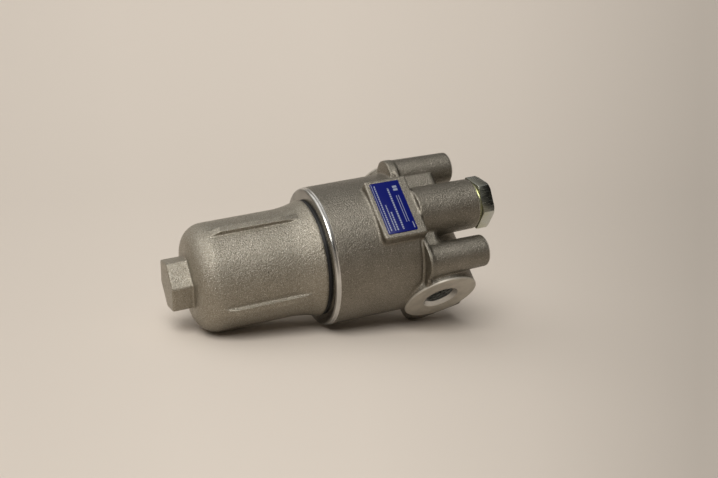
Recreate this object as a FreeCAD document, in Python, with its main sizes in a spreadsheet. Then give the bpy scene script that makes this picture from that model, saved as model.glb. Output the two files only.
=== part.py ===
import FreeCAD, Part
import math
import os
import Sketcher
from types import SimpleNamespace

# Inline pressure filter, lying on its side.
# Every piece is drawn in the filter's own frame and then laid down: X runs along the
# screw-on bowl and the head, from the bowl's hexagon (low X) to the plugged indicator port
# (high X), with X = 0 on the head's turned rim. Z points out of the label, and the front
# port opens towards -Y.

drivingSizes = {
    # Head casting: the round skirt that takes the bowl
    "skirtWall": 9.0,
    "skirtDraft": 0.4,
    "skirtLength": 59.0,
    "skirtEdgeRound": 1.6,
    "landDepth": 0.4,
    "landLength": 2.6,
    "landEdgeRound": 1.8,
    "shoulderRadius": 37.0,
    "shoulderRise": 6.0,
    "crownRadius": 27.0,
    "crownRise": 16.0,
    # Through ports on one axis across the head
    "portAxis": 75.8,
    "portBossRadius": 24.7,
    "portProud": 2.0,
    "portEdgeChamfer": 0.4,
    "portThreadRadius": 9.315,
    "portThreadDepth": 16.0,
    "portMouthRadius": 11.9,
    "portMouthDepth": 1.6,
    "inletRadius": 8.0,
    "outletRadius": 7.5,
    "inletEnd": 17.0,
    "inletDropRadius": 6.5,
    "inletDropAcross": 23.5,
    # Four tapped mounting bosses
    "bossAcross": 65.0,
    "bossUp": 56.0,
    "bossRadius": 10.3,
    "bossRootRadius": 10.8,
    "bossFrontStart": 60.0,
    "bossRearStart": 56.8,
    "bossEnd": 102.8,
    "bossEdgeRound": 1.2,
    "backBossStart": 63.7,
    "backBossStartRadius": 13.0,
    "backBossSwell": 8.8,
    "backBossSwellRadius": 14.0,
    "lipRadius": 11.3,
    "lipStart": 60.0,
    "lipLength": 2.6,
    "lipReach": 45.0,
    "lipHeight": 24.0,
    "lipDrop": 12.0,
    "bossThreadRadius": 4.25,
    "bossThreadDepth": 20.0,
    # Indicator port with its plug
    "indicatorHeight": 32.6,
    "indicatorRadius": 16.3,
    "indicatorRootRadius": 16.8,
    "indicatorEnd": 104.6,
    "indicatorEdgeChamfer": 0.8,
    "indicatorThreadRadius": 10.0,
    "indicatorThreadDepth": 15.0,
    "webTop": 36.3,
    "webFrontEnd": 73.5,
    "webRearEnd": 88.0,
    "webEndRound": 3.5,
    "plugFlats": 30.0,
    "plugHexLength": 8.2,
    "plugTurn": 6.7,
    "plugShankLength": 12.0,
    "plugChamfer": 1.3,
    "plugCornerStart": 0.9,
    "threadClearance": 0.05,
    "washerThickness": 1.8,
    "washerRadius": 13.7,
    "washerRubberRadius": 11.7,
    # Label pad and label
    "padRise": 1.9,
    "padFrom": 33.0,
    "padLength": 29.0,
    "padWidth": 42.8,
    "padDepth": 12.0,
    "padCornerRound": 2.5,
    "padEdgeRound": 0.7,
    "labelFrom": 36.1,
    "labelLength": 19.8,
    "labelWidth": 36.9,
    "labelThickness": 0.4,
    "labelCornerRound": 1.0,
    # Bowl
    "bowlBottom": 80.0,
    "bowlWall": 4.6,
    "bowlMouthRise": 0.3,
    "bowlShoulderRound": 14.0,
    "bowlFlareFrom": 20.5,
    "bowlFlareRound": 55.0,
    "flangeRise": 1.7,
    "flangeGap": 1.5,
    "flangeThickness": 1.6,
    "bowlFloor": 6.9,
    "bowlFloorRound": 8.0,
    "socketRadius": 8.3,
    "socketDepth": 3.5,
    "bowlHexFlats": 30.0,
    "bowlHexLength": 13.2,
    "bowlHexRoot": 2.0,
    "bowlHexCornerRound": 2.2,
    "bowlHexEdgeRound": 1.0,
    "bowlTurn": 21.5,
    "ribHeight": 2.4,
    "ribWidth": 5.2,
    "ribRise": 6.0,
    "ribTail": 5.0,
    # Screw joint between bowl and head
    "threadRise": 2.0,
    "threadFrom": 3.0,
    "threadTo": 17.0,
    "threadBoreTo": 19.0,
    "neckRise": 1.0,
    "pilotBoreTo": 27.5,
    "pilotTo": 26.0,
    "sealGrooveFrom": 20.0,
    "sealGrooveWidth": 4.6,
    "sealGrooveWall": 1.8,
    "sealGrooveDepth": 2.6,
    "backupWidth": 1.4,
    "mouthChamfer": 1.0,
    "dustRingSet": 0.4,
    "seatClearance": 0.3,
    # Chamber in the head and the filter element
    "chamberGap": 3.9,
    "chamberEnd": 44.5,
    "spigotRadius": 12.0,
    "spigotBore": 8.5,
    "spigotSeatDepth": 6.0,
    "spigotReach": 15.0,
    "spigotChamfer": 1.0,
    "elementRadius": 27.5,
    "elementGap": 2.1,
    "elementTop": 41.0,
    "elementBottom": 69.6,
    "capThickness": 3.0,
    "capRim": 5.0,
    "capSkin": 1.0,
    "collarRadius": 15.0,
    "collarLength": 11.0,
    "elementSealWidth": 3.0,
    "elementSealDepth": 1.7,
    "coreRadius": 17.0,
    "coreBore": 15.6,
    "coreHoleRadius": 3.0,
    "pleatThickness": 0.5,
    "pleatCount": 40,
    "wrapThickness": 0.6,
    "footRadius": 8.0,
    "footLength": 6.0,
    # Bypass valve in the wall between the two ports
    "valveBore": 9.0,
    "valveShoulder": 14.0,
    "valveHole": 5.0,
    "seatThickness": 3.0,
    "poppetRadius": 6.6,
    "poppetThickness": 2.0,
    "stemRadius": 1.6,
    "stemReach": 14.0,
    "springRadius": 5.0,
    "springWire": 0.6,
    "springTurns": 5,
    "cageFrom": 8.0,
    "cageThickness": 2.5,
    "cageHoleRadius": 2.1,
    "cageHolePitch": 5.6,
    "clipThickness": 1.2,
    "clipDepth": 0.7,
    "clipGap": 40.0,
    # Attitude of the whole filter as it lies
    "restRoll": 47.5,
}

doc = FreeCAD.newDocument("InlinePressureFilter")
sheet = doc.addObject("Spreadsheet::Sheet", "Sizes")
for row, (alias, number) in enumerate(drivingSizes.items(), start=1):
    sheet.set(f"A{row}", alias)
    sheet.set(f"B{row}", str(number))
    sheet.setAlias(f"B{row}", alias)
doc.recompute()


class Size:
    # A length that carries both its number and the spreadsheet formula it comes from.
    def __init__(self, number, formula):
        self.number = number
        self.formula = formula

    def joined(self, sign, other, number):
        right = other.formula if isinstance(other, Size) else str(float(other))
        return Size(number, f"({self.formula} {sign} {right})")

    def __add__(self, other):
        return self.joined("+", other, self.number + numberOf(other))

    def __sub__(self, other):
        return self.joined("-", other, self.number - numberOf(other))

    def __mul__(self, other):
        return self.joined("*", other, self.number * numberOf(other))

    def __truediv__(self, other):
        return self.joined("/", other, self.number / numberOf(other))

    def __neg__(self):
        return Size(-self.number, f"(0 - {self.formula})")


def numberOf(value):
    return value.number if isinstance(value, Size) else float(value)


zero = Size(0.0, "0")
d = SimpleNamespace()
for alias, number in drivingSizes.items():
    setattr(d, alias, Size(float(number), f"Sizes.{alias}"))

# From the filter element outwards: each radius stands clear of the one inside it
d.bowlBore = d.elementRadius + d.elementGap
d.bowlRadius = d.bowlBore + d.bowlWall
d.bowlMouthRadius = d.bowlRadius + d.bowlMouthRise
d.sealGrooveRadius = d.bowlBore + d.sealGrooveWall
d.pilotRadius = d.sealGrooveRadius + d.sealGrooveDepth
d.neckRadius = d.pilotRadius + d.neckRise
d.threadMajorRadius = d.pilotRadius + d.threadRise
d.flangeRadius = d.threadMajorRadius + d.flangeRise
d.dustRingRadius = d.flangeRadius - d.dustRingSet
d.chamberRadius = d.elementRadius + d.chamberGap
d.skirtRadius = d.threadMajorRadius + d.skirtWall
d.skirtEndRadius = d.skirtRadius + d.skirtDraft
d.landRadius = d.skirtRadius - d.landDepth
d.padTop = d.skirtRadius + d.padRise
d.portReach = d.skirtRadius + d.portProud

pieces = []


# Sketch and feature helpers

def newBody(name, turn=None):
    body = doc.addObject("PartDesign::Body", name)
    body.Label = name
    pieces.append((body, turn or 0.0))
    return body


def bind(feature, path, size):
    if isinstance(size, Size):
        feature.setExpression(path, size.formula)


def originFeature(body, role):
    return [item for item in body.Origin.OriginFeatures if item.Role == role][0]


def newSketch(body, name, role, shift=(0, 0, 0)):
    sketch = body.newObject("Sketcher::SketchObject", name)
    sketch.AttachmentSupport = [(originFeature(body, role), "")]
    sketch.MapMode = "FlatFace"
    sketch.AttachmentOffset = FreeCAD.Placement(
        FreeCAD.Vector(*[numberOf(value) for value in shift]), FreeCAD.Rotation())
    for letter, value in zip("xyz", shift):
        bind(sketch, f"AttachmentOffset.Base.{letter}", value)
    return sketch


def placePoint(sketch, geometry, end, x, y):
    # Ties one end of a line, arc or circle to its distances from the sketch's origin.
    for kind, size, axis in (("DistanceX", x, -2), ("DistanceY", y, -1)):
        number = numberOf(size)
        if size is zero or size == 0:
            sketch.addConstraint(Sketcher.Constraint("PointOnObject", geometry, end, axis))
            continue
        index = sketch.addConstraint(Sketcher.Constraint(kind, -1, 1, geometry, end, number))
        bind(sketch, f"Constraints[{index}]", size)


def arcBetween(start, end, radius):
    # A positive radius has its centre on the left of the way from start to end.
    chord = end - start
    middle = (start + end) * 0.5
    left = FreeCAD.Vector(-chord.y, chord.x, 0).normalize()
    height = math.sqrt(max(radius * radius - chord.Length * chord.Length / 4, 0.0))
    centre = middle + left * math.copysign(height, radius)
    circle = Part.Circle(centre, FreeCAD.Vector(0, 0, 1), abs(radius))
    first, last = (start, end) if radius > 0 else (end, start)
    angles = [math.atan2(point.y - centre.y, point.x - centre.x) for point in (first, last)]
    if angles[1] < angles[0]:
        angles[1] += 2 * math.pi
    return Part.ArcOfCircle(circle, angles[0], angles[1])


def outline(body, name, role, corners, shift=(0, 0, 0)):
    # A closed outline. A corner is (x, y), or (x, y, radius) where an arc leads to the next.
    sketch = newSketch(body, name, role, shift)
    points = [FreeCAD.Vector(numberOf(c[0]), numberOf(c[1]), 0) for c in corners]
    count = len(corners)
    ends = []
    for index, corner in enumerate(corners):
        start, end = points[index], points[(index + 1) % count]
        if len(corner) == 3:
            radius = numberOf(corner[2])
            geometry = sketch.addGeometry(arcBetween(start, end, radius), False)
            ends.append((geometry, 1, 2) if radius > 0 else (geometry, 2, 1))
        else:
            geometry = sketch.addGeometry(Part.LineSegment(start, end), False)
            ends.append((geometry, 1, 2))
    for index in range(count):
        following = ends[(index + 1) % count]
        current = ends[index]
        sketch.addConstraint(Sketcher.Constraint(
            "Coincident", current[0], current[2], following[0], following[1]))
    for index, corner in enumerate(corners):
        placePoint(sketch, ends[index][0], ends[index][1], corner[0], corner[1])
        if len(corner) == 3:
            radius = abs(numberOf(corner[2]))
            number = sketch.addConstraint(Sketcher.Constraint("Radius", ends[index][0], radius))
            size = corner[2] if numberOf(corner[2]) > 0 else -corner[2]
            bind(sketch, f"Constraints[{number}]", size)
    return sketch


def circles(body, name, role, rounds, shift=(0, 0, 0)):
    sketch = newSketch(body, name, role, shift)
    for x, y, radius in rounds:
        centre = FreeCAD.Vector(numberOf(x), numberOf(y), 0)
        circle = Part.Circle(centre, FreeCAD.Vector(0, 0, 1), numberOf(radius))
        geometry = sketch.addGeometry(circle, False)
        placePoint(sketch, geometry, 3, x, y)
        number = sketch.addConstraint(Sketcher.Constraint("Radius", geometry, numberOf(radius)))
        bind(sketch, f"Constraints[{number}]", radius)
    return sketch


def turned(body, name, sketch, kind="Revolution", axis="H_Axis", angle=360):
    feature = body.newObject(f"PartDesign::{kind}", name)
    feature.Profile = sketch
    feature.ReferenceAxis = (sketch, [axis])
    feature.Angle = numberOf(angle)
    bind(feature, "Angle", angle)
    sketch.Visibility = False
    doc.recompute()
    return feature


def pushed(body, name, sketch, length, kind="Pad", backwards=False, bothWays=False):
    feature = body.newObject(f"PartDesign::{kind}", name)
    feature.Profile = sketch
    feature.Length = numberOf(length)
    bind(feature, "Length", length)
    feature.Reversed = backwards
    if bothWays:
        feature.SideType = "Symmetric"
    sketch.Visibility = False
    doc.recompute()
    return feature


def cutTo(body, name, sketch, length, backwards=False):
    before = body.Shape.Volume
    feature = pushed(body, name, sketch, length, "Pocket", backwards)
    if feature.Shape.Volume >= before - 1e-6:
        raise RuntimeError(f"{name} cuts nothing")
    return feature


def around(body, name, feature, count, angle=360):
    pattern = body.newObject("PartDesign::PolarPattern", name)
    pattern.Originals = [feature]
    pattern.Axis = (originFeature(body, "X_Axis"), [""])
    pattern.Angle = angle
    pattern.Occurrences = count
    body.Tip = pattern
    doc.recompute()
    return pattern


def edgesWhere(feature, test):
    names = []
    for index, edge in enumerate(feature.Shape.Edges, start=1):
        if test(edge):
            names.append(f"Edge{index}")
    return names


def eased(body, name, feature, test, size, kind="Fillet"):
    # Rounds or chamfers those edges of the feature that pass the test.
    names = edgesWhere(feature, test)
    if not names:
        raise RuntimeError(f"{name} finds no edge")
    dressed = body.newObject(f"PartDesign::{kind}", name)
    dressed.Base = (feature, names)
    property = "Radius" if kind == "Fillet" else "Size"
    setattr(dressed, property, numberOf(size))
    bind(dressed, property, size)
    doc.recompute()
    return dressed


def near(value, target):
    return abs(value - numberOf(target)) < 1e-4


def spans(edge, axis):
    box = edge.BoundBox
    return getattr(box, f"{axis}Min"), getattr(box, f"{axis}Max")


def flatAt(edge, axis, place):
    low, high = spans(edge, axis)
    return near(low, place) and near(high, place)


def hexagon(body, name, flats, shift, turn=zero):
    # One corner points along the sketch's own upright axis, which the given angle turns.
    sketch = newSketch(body, name, "YZ_Plane", shift)
    place = sketch.AttachmentOffset
    place.Rotation = FreeCAD.Rotation(FreeCAD.Vector(0, 0, 1), turn.number)
    sketch.AttachmentOffset = place
    bind(sketch, "AttachmentOffset.Rotation.Angle", turn)
    rim = flats / math.sqrt(3)
    corners = []
    for index in range(6):
        angle = math.radians(90 + 60 * index)
        corners.append((rim * math.cos(angle), rim * math.sin(angle)))
    points = [FreeCAD.Vector(x.number, y.number, 0) for x, y in corners]
    for index in range(6):
        line = Part.LineSegment(points[index], points[(index + 1) % 6])
        sketch.addGeometry(line, False)
    for index in range(6):
        sketch.addConstraint(Sketcher.Constraint("Coincident", index, 2, (index + 1) % 6, 1))
    for index, (x, y) in enumerate(corners):
        placePoint(sketch, index, 1, zero if near(x.number, 0) else x, y)
    return sketch


def ring(name, corners):
    # A turned piece on the filter's own axis.
    body = newBody(name)
    turned(body, f"{name}_turning", outline(body, f"{name}_outline", "XZ_Plane", corners))
    return body


def portRing(name, corners, angle=360):
    # A turned piece on the ports' axis. A corner's y runs from the front port to the rear.
    body = newBody(name)
    sketch = outline(body, f"{name}_outline", "XY_Plane", corners, (d.portAxis, 0, 0))
    turned(body, f"{name}_turning", sketch, axis="V_Axis", angle=angle)
    return body


def tube(start, end, inner, outer):
    return [(start, inner), (start, outer), (end, outer), (end, inner)]


# Head casting

head = newBody("head_casting")

landEdge = d.landRadius - d.landEdgeRound
shoulderAt = d.skirtLength + d.shoulderRise
crownAt = shoulderAt + d.crownRise
roundStart = d.skirtLength - d.skirtEdgeRound
roundTop = d.skirtEndRadius - d.skirtEdgeRound
turned(head, "skirt", outline(head, "skirt_outline", "XZ_Plane", [
    (zero, zero),
    (zero, landEdge, -d.landEdgeRound),
    (d.landEdgeRound, d.landRadius),
    (d.landLength, d.landRadius),
    (d.landLength + (d.skirtRadius - d.landRadius), d.skirtRadius),
    (roundStart, d.skirtEndRadius, -d.skirtEdgeRound),
    (d.skirtLength, roundTop),
    (shoulderAt, d.shoulderRadius),
    (crownAt, d.crownRadius),
    (d.portAxis, d.crownRadius),
    (d.portAxis, zero),
]))

portTube = pushed(head, "port_tube", circles(
    head, "port_tube_outline", "XZ_Plane", [(d.portAxis, zero, d.portBossRadius)]),
    d.portReach * 2, bothWays=True)


def portRim(edge):
    low, high = spans(edge, "X")
    reach = abs(spans(edge, "Y")[0])
    return (flatAt(edge, "Y", d.portReach) or flatAt(edge, "Y", -d.portReach)) and (
        near(reach, d.portReach) and high - low > numberOf(d.portBossRadius))


eased(head, "port_rims", portTube, portRim, d.portEdgeChamfer, "Chamfer")

# Behind the skirt the casting steps out to a lip under the label's side, where the two
# mounting bosses beside the indicator port start, and to a lower one along the port tube.
lipSketch = outline(head, "lip_outline", "YZ_Plane", [
    (-d.bossAcross / 2, zero),
    (d.bossAcross / 2, zero),
    (d.bossAcross / 2, d.bossUp / 2 + d.lipRadius),
    (-d.bossAcross / 2, d.bossUp / 2 + d.lipRadius),
], (0, 0, d.lipStart))
pushed(head, "lip", lipSketch, d.lipLength)
portLipSketch = outline(head, "port_lip_outline", "YZ_Plane", [
    (-d.lipReach, -d.lipDrop),
    (d.lipReach, -d.lipDrop),
    (d.lipReach, d.lipHeight),
    (-d.lipReach, d.lipHeight),
], (0, 0, d.lipStart))
pushed(head, "port_lip", portLipSketch, d.lipLength)


def castBoss(name, across, up, start, end, endRadius, edge, root):
    # A tapered round boss parallel to the filter's axis, with an eased outer end.
    profile = [(start, zero)] + root
    profile += [(end - edge, endRadius, -edge), (end, endRadius - edge), (end, zero)]
    sketch = outline(head, f"{name}_outline", "XZ_Plane", profile, (0, up, -across))
    return turned(head, name, sketch)


lipEnd = d.lipStart + d.lipLength
bossPlaces = []
backRoot = [(d.backBossStart, d.backBossStartRadius),
            (d.backBossStart + d.backBossSwell, d.backBossSwellRadius)]
for side, across, start in (("front", -d.bossAcross / 2, d.bossFrontStart),
                            ("rear", d.bossAcross / 2, d.bossRearStart)):
    labelRoot = [(start, d.lipRadius), (lipEnd, d.lipRadius), (lipEnd, d.bossRootRadius)]
    for level, up, first, root in (("label", d.bossUp / 2, start, labelRoot),
                                   ("back", -d.bossUp / 2, d.backBossStart, backRoot)):
        bossPlaces.append((across, up))
        castBoss(f"boss_{side}_{level}", across, up, first, d.bossEnd, d.bossRadius,
                 d.bossEdgeRound, root)

padEnd = d.padFrom + d.padLength
castBoss("indicator_boss", zero, d.indicatorHeight, padEnd, d.indicatorEnd,
         d.indicatorRadius, d.indicatorEdgeChamfer, [(padEnd, d.indicatorRootRadius)])

# Webs join the indicator boss to the two mounting bosses beside it.
for side, across, end in (("front", -d.bossAcross / 2, d.webFrontEnd),
                          ("rear", d.bossAcross / 2, d.webRearEnd)):
    webSketch = outline(head, f"web_{side}_outline", "YZ_Plane", [
        (zero, zero),
        (across, zero),
        (across, d.webTop),
        (zero, d.webTop),
    ], (0, 0, d.lipStart))
    web = pushed(head, f"web_{side}", webSketch, end - d.lipStart)
    eased(head, f"web_{side}_end", web,
          lambda edge: flatAt(edge, "X", end) and flatAt(edge, "Z", d.webTop), d.webEndRound)

halfPad = d.padWidth / 2
padSketch = outline(head, "label_pad_outline", "XY_Plane", [
    (d.padFrom, -halfPad),
    (padEnd, -halfPad),
    (padEnd, halfPad),
    (d.padFrom, halfPad),
], (0, 0, d.padTop))
labelPad = pushed(head, "label_pad", padSketch, d.padDepth, backwards=True)


def padCorner(edge):
    low, high = spans(edge, "X")
    sideways = spans(edge, "Y")
    return (near(low, high) and near(low, d.padFrom) and near(sideways[0], sideways[1])
            and near(abs(sideways[0]), halfPad))


def padRim(edge):
    low, high = spans(edge, "X")
    return flatAt(edge, "Z", d.padTop) and low < numberOf(padEnd) - 0.1 and (
        high < numberOf(padEnd) + 0.01)


roundedPad = eased(head, "label_pad_corners", labelPad, padCorner, d.padCornerRound)
eased(head, "label_pad_rim", roundedPad, padRim, d.padEdgeRound)

# Bore for the bowl, the chamber round the element and the passage to the outlet
bore = outline(head, "bore_outline", "XZ_Plane", [
    (zero, zero),
    (zero, d.threadMajorRadius + d.mouthChamfer),
    (d.mouthChamfer, d.threadMajorRadius),
    (d.threadBoreTo, d.threadMajorRadius),
    (d.threadBoreTo, d.pilotRadius),
    (d.pilotBoreTo, d.pilotRadius),
    (d.pilotBoreTo, d.chamberRadius),
    (d.chamberEnd, d.chamberRadius),
    (d.chamberEnd, d.spigotRadius),
    (d.chamberEnd + d.spigotSeatDepth, d.spigotRadius),
    (d.chamberEnd + d.spigotSeatDepth, d.outletRadius),
    (d.portAxis, d.outletRadius),
    (d.portAxis, zero),
])
turned(head, "bore", bore, "Groove")

dropSketch = circles(head, "inlet_drop_outline", "YZ_Plane", [
    (-d.inletDropAcross, zero, d.inletDropRadius)], (0, 0, d.chamberEnd))
cutTo(head, "inlet_drop", dropSketch, d.portAxis - d.chamberEnd, backwards=True)

# One stepped bore along the ports' axis: front port, inlet, valve bore, outlet, rear port
clipFrom = d.cageFrom + d.cageThickness
clipTo = clipFrom + d.clipThickness
threadStop = d.portReach - d.portThreadDepth
mouthStop = d.portReach - d.portMouthDepth
crossBore = outline(head, "port_bore_outline", "XY_Plane", [
    (zero, -d.portReach),
    (d.portMouthRadius, -d.portReach),
    (d.portThreadRadius, -mouthStop),
    (d.portThreadRadius, -threadStop),
    (d.inletRadius, -threadStop),
    (d.inletRadius, -d.inletEnd),
    (d.valveHole, -d.inletEnd),
    (d.valveHole, -d.valveShoulder),
    (d.valveBore, -d.valveShoulder),
    (d.valveBore, clipFrom),
    (d.valveBore + d.clipDepth, clipFrom),
    (d.valveBore + d.clipDepth, clipTo),
    (d.valveBore, clipTo),
    (d.valveBore, threadStop),
    (d.portThreadRadius, threadStop),
    (d.portThreadRadius, mouthStop),
    (d.portMouthRadius, d.portReach),
    (zero, d.portReach),
], (d.portAxis, 0, 0))
turned(head, "port_bore", crossBore, "Groove", "V_Axis")

holes = circles(head, "mounting_hole_outlines", "YZ_Plane", [
    (across, up, d.bossThreadRadius) for across, up in bossPlaces], (0, 0, d.bossEnd))
cutTo(head, "mounting_holes", holes, d.bossThreadDepth)

plugHole = circles(head, "indicator_hole_outline", "YZ_Plane", [
    (zero, d.indicatorHeight, d.indicatorThreadRadius)], (0, 0, d.indicatorEnd))
cutTo(head, "indicator_hole", plugHole, d.indicatorThreadDepth)

# Label plate

label = newBody("label_plate")
halfLabel = d.labelWidth / 2
labelSketch = outline(label, "label_outline", "XY_Plane", [
    (d.labelFrom, -halfLabel),
    (d.labelFrom + d.labelLength, -halfLabel),
    (d.labelFrom + d.labelLength, halfLabel),
    (d.labelFrom, halfLabel),
], (0, 0, d.padTop))
labelPlate = pushed(label, "label_thickness", labelSketch, d.labelThickness)


def uprightEdge(edge):
    low, high = spans(edge, "Z")
    return high - low > numberOf(d.labelThickness) * 0.5


eased(label, "label_corners", labelPlate, uprightEdge, d.labelCornerRound)

# Indicator port plug and its bonded washer

plug = newBody("indicator_port_plug")
plugUnder = d.indicatorEnd + d.washerThickness
plugTop = plugUnder + d.plugHexLength
shankEnd = plugUnder - d.plugShankLength
shankRadius = d.indicatorThreadRadius - d.threadClearance
pushed(plug, "plug_hex", hexagon(
    plug, "plug_hex_outline", d.plugFlats, (0, d.indicatorHeight, plugUnder), -d.plugTurn),
    d.plugHexLength)
shank = outline(plug, "plug_shank_outline", "XZ_Plane", [
    (shankEnd, zero),
    (shankEnd, shankRadius - d.plugChamfer),
    (shankEnd + d.plugChamfer, shankRadius),
    (plugUnder, shankRadius),
    (plugUnder, zero),
], (0, d.indicatorHeight, 0))
turned(plug, "plug_shank", shank)
# The hexagon's corners are turned off at 30 degrees, out past the corners themselves.
cornerSlope = math.tan(math.radians(30))
coneStart = d.plugFlats / 2 + d.plugCornerStart
coneReach = d.plugFlats * 0.6
plugCone = outline(plug, "plug_chamfer_outline", "XZ_Plane", [
    (plugTop, coneStart),
    (plugTop, coneReach),
    (plugTop - (coneReach - coneStart) * cornerSlope, coneReach),
], (0, d.indicatorHeight, 0))
turned(plug, "plug_chamfer", plugCone, "Groove")


def plugRing(name, inner, outer):
    body = newBody(name)
    sketch = outline(body, f"{name}_outline", "XZ_Plane",
                     tube(d.indicatorEnd, plugUnder, inner, outer), (0, d.indicatorHeight, 0))
    turned(body, f"{name}_turning", sketch)
    return body


plugRing("plug_washer", d.washerRubberRadius, d.washerRadius)
plugRing("plug_washer_seal", shankRadius + d.threadClearance, d.washerRubberRadius)

# Bowl

bowl = newBody("bowl", d.bowlTurn * -1)
flangeFace = -d.flangeGap
flangeBack = flangeFace - d.flangeThickness
shoulderTop = d.bowlBottom - d.bowlShoulderRound
floorInside = d.bowlBottom - d.bowlFloor
grooveTo = d.sealGrooveFrom + d.sealGrooveWidth
threadRadius = d.threadMajorRadius - d.threadClearance
pilot = d.pilotRadius - d.threadClearance
bowlProfile = outline(bowl, "bowl_outline", "XZ_Plane", [
    (-d.bowlBottom, zero),
    (-d.bowlBottom, d.bowlRadius - d.bowlShoulderRound, -d.bowlShoulderRound),
    (-shoulderTop, d.bowlRadius),
    (-d.bowlFlareFrom, d.bowlMouthRadius, d.bowlFlareRound),
    (flangeBack, d.flangeRadius),
    (flangeFace, d.flangeRadius),
    (flangeFace, d.neckRadius),
    (d.threadFrom, d.neckRadius),
    (d.threadFrom + (threadRadius - d.neckRadius), threadRadius),
    (d.threadTo, threadRadius),
    (d.threadTo + (threadRadius - pilot), pilot),
    (d.sealGrooveFrom, pilot),
    (d.sealGrooveFrom, d.sealGrooveRadius),
    (grooveTo, d.sealGrooveRadius),
    (grooveTo, pilot),
    (d.pilotTo, pilot),
    (d.pilotTo, d.bowlBore),
    (-floorInside + d.bowlFloorRound, d.bowlBore, d.bowlFloorRound),
    (-floorInside, d.bowlBore - d.bowlFloorRound),
    (-floorInside, d.socketRadius),
    (-floorInside - d.socketDepth, d.socketRadius),
    (-floorInside - d.socketDepth, zero),
])
turned(bowl, "bowl_shell", bowlProfile)

# The hexagon starts inside the bowl's floor, so that its corners meet the rounded shoulder.
hexSketch = hexagon(bowl, "bowl_hex_outline", d.bowlHexFlats,
                    (0, 0, -d.bowlBottom + d.bowlHexRoot))
bowlHex = pushed(bowl, "bowl_hex", hexSketch, d.bowlHexLength + d.bowlHexRoot, backwards=True)
hexEnd = -d.bowlBottom - d.bowlHexLength


def hexCorner(edge):
    low, high = spans(edge, "X")
    return near(low, hexEnd) and high - low > numberOf(d.bowlHexLength) / 2


hexCorners = eased(bowl, "bowl_hex_corners", bowlHex, hexCorner, d.bowlHexCornerRound)
eased(bowl, "bowl_hex_edges", hexCorners, lambda edge: flatAt(edge, "X", hexEnd),
      d.bowlHexEdgeRound)

ribTop = d.bowlRadius + d.ribHeight
ribSketch = outline(bowl, "rib_outline", "XZ_Plane", [
    (-shoulderTop - d.ribTail, d.bowlRadius - d.ribHeight),
    (-shoulderTop - d.ribTail, d.bowlRadius - d.ribHeight / 2),
    (-shoulderTop + d.ribRise, ribTop),
    (-d.bowlFlareFrom, ribTop),
    (flangeBack, ribTop - d.ribHeight * 0.6),
    (flangeBack, d.bowlRadius - d.ribHeight),
])
rib = pushed(bowl, "rib", ribSketch, d.ribWidth, bothWays=True)
around(bowl, "ribs", rib, 4)

ring("bowl_dust_ring", tube(flangeFace, zero, d.neckRadius + d.threadClearance, d.dustRingRadius))
sealEdge = grooveTo - d.backupWidth
ring("bowl_o_ring", tube(d.sealGrooveFrom, sealEdge, d.sealGrooveRadius, pilot))
ring("bowl_backup_ring", tube(sealEdge, grooveTo, d.sealGrooveRadius, pilot))

# Filter element, pushed on the head's spigot

spigotEnd = d.chamberEnd - d.spigotReach
spigotBack = d.chamberEnd + d.spigotSeatDepth
ring("element_spigot", [
    (spigotEnd, d.spigotBore),
    (spigotEnd, d.spigotRadius - d.spigotChamfer),
    (spigotEnd + d.spigotChamfer, d.spigotRadius),
    (spigotBack, d.spigotRadius),
    (spigotBack, d.spigotBore),
])

collarBore = d.spigotRadius + d.threadClearance
collarEnd = d.elementTop - d.collarLength
sealFrom = collarEnd + d.capThickness
sealTo = sealFrom + d.elementSealWidth
sealOuter = collarBore + d.elementSealDepth
capUnder = d.elementTop - d.capThickness
rimEnd = d.elementTop - d.capRim
ring("element_top_cap", [
    (d.elementTop, collarBore),
    (d.elementTop, d.elementRadius),
    (rimEnd, d.elementRadius),
    (rimEnd, d.elementRadius - d.capSkin),
    (capUnder, d.elementRadius - d.capSkin),
    (capUnder, d.collarRadius),
    (collarEnd, d.collarRadius),
    (collarEnd, collarBore),
    (sealFrom, collarBore),
    (sealFrom, sealOuter),
    (sealTo, sealOuter),
    (sealTo, collarBore),
])
ring("element_o_ring", tube(sealFrom, sealTo, d.spigotRadius, sealOuter))

lowCapTop = -d.elementBottom + d.capThickness
ring("element_bottom_cap", [
    (-d.elementBottom - d.footLength, zero),
    (-d.elementBottom - d.footLength, d.footRadius - d.spigotChamfer),
    (-d.elementBottom - d.footLength + d.spigotChamfer, d.footRadius),
    (-d.elementBottom, d.footRadius),
    (-d.elementBottom, d.elementRadius),
    (-d.elementBottom + d.capRim, d.elementRadius),
    (-d.elementBottom + d.capRim, d.elementRadius - d.capSkin),
    (lowCapTop, d.elementRadius - d.capSkin),
    (lowCapTop, zero),
])

core = ring("element_core", tube(lowCapTop, capUnder, d.coreBore, d.coreRadius))
coreHoles = 4
coreSpan = capUnder - lowCapTop
holeSketch = circles(core, "core_hole_outlines", "XY_Plane", [
    (lowCapTop + coreSpan * ((index + 0.5) / coreHoles), zero, d.coreHoleRadius)
    for index in range(coreHoles)])
coreCut = pushed(core, "core_holes", holeSketch, d.coreRadius * 2.2, "Pocket", bothWays=True)
around(core, "core_hole_rows", coreCut, 2, 180)

wrapOuter = d.elementRadius - d.capSkin
wrapInner = wrapOuter - d.wrapThickness
ring("element_wrap", tube(lowCapTop, capUnder, wrapInner, wrapOuter))


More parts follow.
